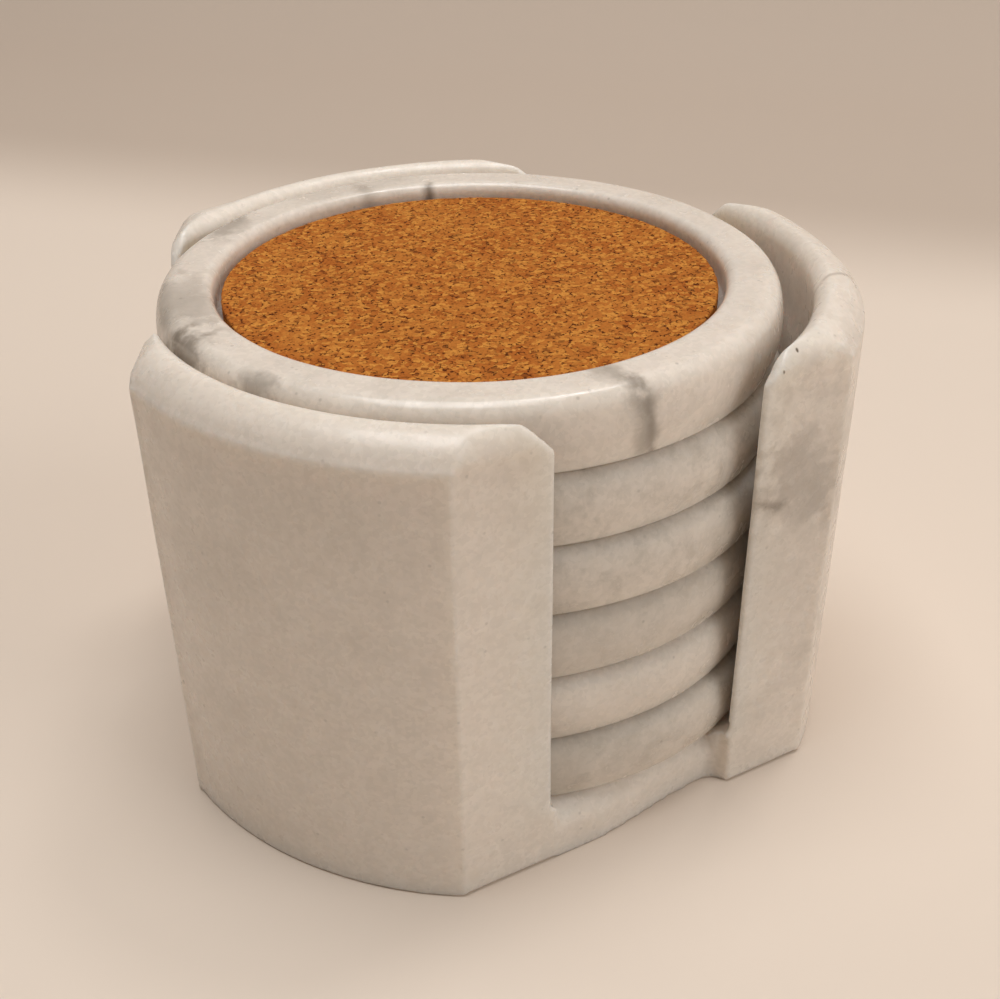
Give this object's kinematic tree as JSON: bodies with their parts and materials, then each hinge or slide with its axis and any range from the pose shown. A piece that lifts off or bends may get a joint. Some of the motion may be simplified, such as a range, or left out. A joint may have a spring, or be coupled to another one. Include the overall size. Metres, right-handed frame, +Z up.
{
  "type": "drink coaster set",
  "caption": "Round stone drink coasters with cork inlays, stacked in a stone holder with curved walls, flats and finger gaps.",
  "frame": {"origin": "centre of the holder's base, on the axis of the stack, on the surface that the holder stands on", "axes": "+Z up along the stack, -Y out of the front finger gap, +X to the right seen from the front"},
  "size_m": [0.1212, 0.1115, 0.0802],
  "materials": {
    "holder_marble": "satin polished white marble",
    "coaster_marble": "satin polished grey-white marble",
    "cork": "sanded agglomerated cork"
  },
  "bodies": {
    "holder": {"holder": "holder_marble"},
    "coaster_1": {"coaster_disc_1": "coaster_marble", "cork_inlay_1": "cork"},
    "coaster_2": {"coaster_disc_2": "coaster_marble", "cork_inlay_2": "cork"},
    "coaster_3": {"coaster_disc_3": "coaster_marble", "cork_inlay_3": "cork"},
    "coaster_4": {"coaster_disc_4": "coaster_marble", "cork_inlay_4": "cork"},
    "coaster_5": {"coaster_disc_5": "coaster_marble", "cork_inlay_5": "cork"},
    "coaster_6": {"coaster_disc_6": "coaster_marble", "cork_inlay_6": "cork"}
  },
  "joints": [
    {"name": "coaster_1_lift", "type": "slide", "parent": "holder", "child": "coaster_1", "axis": [0, 0, 1], "range_m": [0, 0.076]},
    {"name": "coaster_2_lift", "type": "slide", "parent": "coaster_1", "child": "coaster_2", "axis": [0, 0, 1], "range_m": [0, 0.064]},
    {"name": "coaster_3_lift", "type": "slide", "parent": "coaster_2", "child": "coaster_3", "axis": [0, 0, 1], "range_m": [0, 0.052]},
    {"name": "coaster_4_lift", "type": "slide", "parent": "coaster_3", "child": "coaster_4", "axis": [0, 0, 1], "range_m": [0, 0.041]},
    {"name": "coaster_5_lift", "type": "slide", "parent": "coaster_4", "child": "coaster_5", "axis": [0, 0, 1], "range_m": [0, 0.029]},
    {"name": "coaster_6_lift", "type": "slide", "parent": "coaster_5", "child": "coaster_6", "axis": [0, 0, 1], "range_m": [0, 0.017]}
  ]
}
